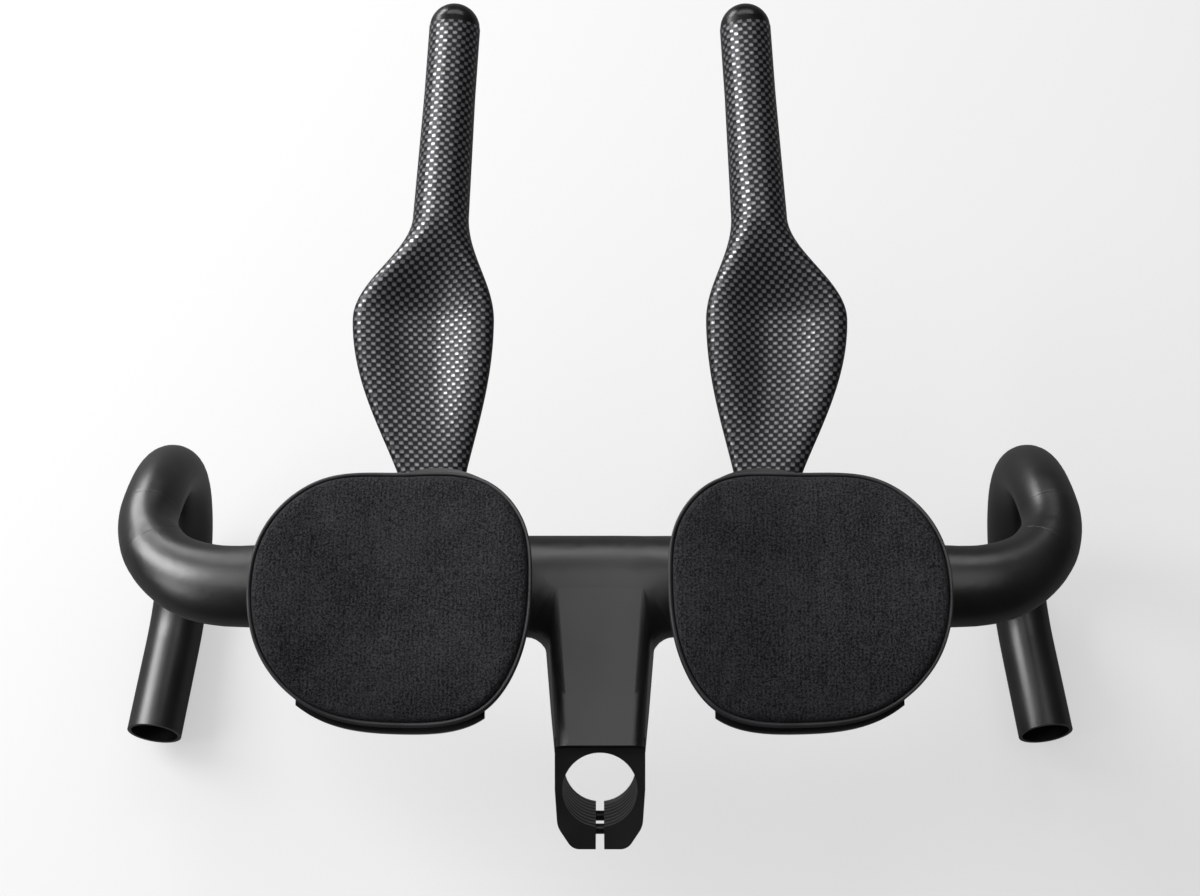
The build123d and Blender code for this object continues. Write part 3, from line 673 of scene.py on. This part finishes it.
def fill_out(piece, held):
    """Cloth simulation: foam pressing the cover out from inside, held along its seam."""
    group = piece.vertex_groups.new(name="seam")
    group.add([int(i) for i in held], 1.0, "REPLACE")
    start = np.array([v.co for v in piece.data.vertices])
    cloth = piece.modifiers.new("cloth", "CLOTH")
    cloth.settings.quality = 6
    cloth.settings.mass = 0.25
    cloth.settings.tension_stiffness = 25
    cloth.settings.compression_stiffness = 25
    cloth.settings.shear_stiffness = 10
    cloth.settings.bending_stiffness = 1.0
    cloth.settings.vertex_group_mass = "seam"
    cloth.settings.use_pressure = True
    cloth.settings.uniform_pressure_force = 4.0
    cloth.settings.effector_weights.gravity = 0.0
    cloth.collision_settings.use_collision = False
    cloth.point_cache.frame_start = 1
    cloth.point_cache.frame_end = FILL_FRAMES
    for number in range(1, FILL_FRAMES + 1):
        bpy.context.scene.frame_set(number)
    shaped = piece.evaluated_get(bpy.context.evaluated_depsgraph_get()).to_mesh()
    moved = np.array([v.co for v in shaped.vertices]) - start
    piece.modifiers.remove(cloth)
    bpy.context.scene.frame_set(1)
    length = np.linalg.norm(moved, axis=1)[:, None] + 1e-9
    limit = FILL_LIMIT * MM
    filled = start + moved / length * limit * np.tanh(length / limit)
    piece.data.vertices.foreach_set("co", filled.ravel())
    piece.data.update()
    piece.vertex_groups.clear()


for side, side_name in ((1, "right"), (-1, "left")):
    points, faces, border = pad_cover()
    net = len(points)
    tucks = [pad_ring(1, *SEAM_TUCK), pad_ring(1, *COVER_UNDER)] + closing_rings(*COVER_UNDER)
    starts = [net + ring * SEAM_COUNT for ring in range(len(tucks))]
    loops = [border] + [list(range(start, start + SEAM_COUNT)) for start in starts]
    for upper, lower in zip(loops, loops[1:]):
        for k in range(SEAM_COUNT):
            n = (k + 1) % SEAM_COUNT
            faces.append((upper[n], upper[k], lower[k], lower[n]))
    faces.append(tuple(loops[-1][::-1]))
    points = deck_points(np.concatenate([points] + tucks))
    cushion = mesh_object(side_name + "_pad_cover", points, faces, side)
    fill_out(cushion, sum(loops, []))
    smooth = cushion.modifiers.new("smooth", "SUBSURF")
    smooth.levels = 1
    smooth.render_levels = 1
    keep(cushion, FABRIC, "pad_fabric", side_name + "_arm_pad")

    band = closing_rings(*BAND_TOP)[::-1]
    band += [pad_ring(1, *row) for row in BAND_ROWS]
    band += closing_rings(*BAND_UNDER)
    faces = ring_faces(len(band), SEAM_COUNT)
    last = (len(band) - 1) * SEAM_COUNT
    faces.append(tuple(range(last, last + SEAM_COUNT))[::-1])
    faces.append(tuple(range(SEAM_COUNT)))
    piece = mesh_object(side_name + "_pad_band", deck_points(np.concatenate(band)), faces, side=side)
    keep(piece, FOAM, "pad_fabric", side_name + "_arm_pad")

    piping = []
    for angle in np.linspace(0, 2 * pi, PIPING_AROUND, endpoint=False):
        inset = PIPING_INSET - PIPING_RADIUS * cos(angle)
        piping.append(pad_ring(1, inset, PIPING_HEIGHT + PIPING_RADIUS * sin(angle)))
    piping.append(piping[0])
    faces = ring_faces(len(piping), SEAM_COUNT)
    piece = mesh_object(side_name + "_pad_piping", deck_points(np.concatenate(piping)), faces, side=side)
    keep(piece, PIPING, "pad_fabric")

# Stage: pale floor, soft lights and the camera. In reflections the floor is darker than to the camera.
FLOOR_HALF = 6
FLOOR_IN_GLOSS = 0.08
WORLD_DIFFUSE = 0.30
WORLD_IN_GLOSS = 0.03
WORLD_TO_CAMERA = 0.60
floor_corners = [(x * FLOOR_HALF, y * FLOOR_HALF, 0) for x, y in ((-1, -1), (1, -1), (1, 1), (-1, 1))]
floor_mesh = bpy.data.meshes.new("floor")
floor_mesh.from_pydata(floor_corners, [], [(0, 1, 2, 3)])
floor_object = bpy.data.objects.new("floor", floor_mesh)
floor_object.location = (0, 0, cad_box[0][2])
bpy.context.scene.collection.objects.link(floor_object)
floor_shader = Shader("floor")
floor_shader.set(Base_Color=(0.30, 0.30, 0.30, 1), Roughness=0.9, Specular_IOR_Level=0.0)
floor_shader.set(Emission_Color=(1.0, 1.0, 1.0, 1), Emission_Strength=0.51)
floor_dark = floor_shader.node("ShaderNodeBsdfDiffuse")
floor_dark.inputs["Color"].default_value = (0.10, 0.10, 0.10, 1)
floor_mix = floor_shader.node("ShaderNodeMixShader")
floor_path = floor_shader.node("ShaderNodeLightPath").outputs
floor_seen = floor_shader.math("MAXIMUM", floor_path["Is Camera Ray"], floor_path["Is Transmission Ray"])
floor_gloss = floor_shader.math("MULTIPLY", floor_path["Is Glossy Ray"], FLOOR_IN_GLOSS)
floor_shader.link(floor_shader.math("MAXIMUM", floor_seen, floor_gloss), floor_mix.inputs[0])
floor_shader.link(floor_dark.outputs[0], floor_mix.inputs[1])
floor_shader.link(floor_shader.bsdf.outputs[0], floor_mix.inputs[2])
floor_shader.link(floor_mix.outputs[0], floor_shader.tree.nodes["Material Output"].inputs["Surface"])
dress(floor_object, floor_shader.material)

# The studio is dim in reflections, so that the lights draw the highlights
world = bpy.data.worlds.new("studio")
world.use_nodes = True
world_tree = world.node_tree
light_path = world_tree.nodes.new("ShaderNodeLightPath")
strength = world_tree.nodes.new("ShaderNodeMapRange")
strength.inputs["To Min"].default_value = WORLD_DIFFUSE
strength.inputs["To Max"].default_value = WORLD_IN_GLOSS
world_tree.links.new(light_path.outputs["Is Glossy Ray"], strength.inputs["Value"])
background = world_tree.nodes["Background"]
background.inputs[0].default_value = (1.0, 1.0, 1.0, 1)
# Beyond the floor the camera sees the tone of the far floor
horizon = world_tree.nodes.new("ShaderNodeMapRange")
horizon.inputs["To Max"].default_value = WORLD_TO_CAMERA
world_tree.links.new(light_path.outputs["Is Camera Ray"], horizon.inputs["Value"])
world_tree.links.new(strength.outputs[0], horizon.inputs["To Min"])
world_tree.links.new(horizon.outputs[0], background.inputs[1])
bpy.context.scene.world = world


def area_light(name, place, target, size, power):
    light = bpy.data.lights.new(name, "AREA")
    light.shape = "RECTANGLE"
    light.size, light.size_y = size
    light.energy = power
    obj = bpy.data.objects.new(name, light)
    obj.location = place
    obj.rotation_euler = (Vector(target) - Vector(place)).to_track_quat("-Z", "Y").to_euler()
    bpy.context.scene.collection.objects.link(obj)


area_light("key", (-1.0, 0.55, 0.8), (0, 0.1, 0), (0.5, 0.9), 17.0)
area_light("low_left", (-0.8, 1.15, 0.25), (0, 0.1, 0), (0.7, 0.35), 8.0)
area_light("left_rear", (-0.9, -0.14, 0.6), (0, 0.03, 0), (0.4, 0.4), 2.5)
area_light("front", (0.0, 1.3, 0.8), (0, 0.1, 0), (1.2, 0.4), 5.0)
area_light("overhead", (0.0, 0.45, 1.5), (0, 0.1, 0), (1.5, 0.9), 5.5)

camera_data = bpy.data.cameras.new("camera")
camera_data.sensor_width = 36.0
camera_data.lens = 60.0
camera = bpy.data.objects.new("camera", camera_data)
camera.location = (0.0, -0.1459, 0.7769)
camera.rotation_euler = Vector((0.0, 0.342, -0.940)).to_track_quat("-Z", "Y").to_euler()
bpy.context.scene.collection.objects.link(camera)
bpy.context.scene.camera = camera
bpy.context.scene.view_settings.view_transform = "Standard"
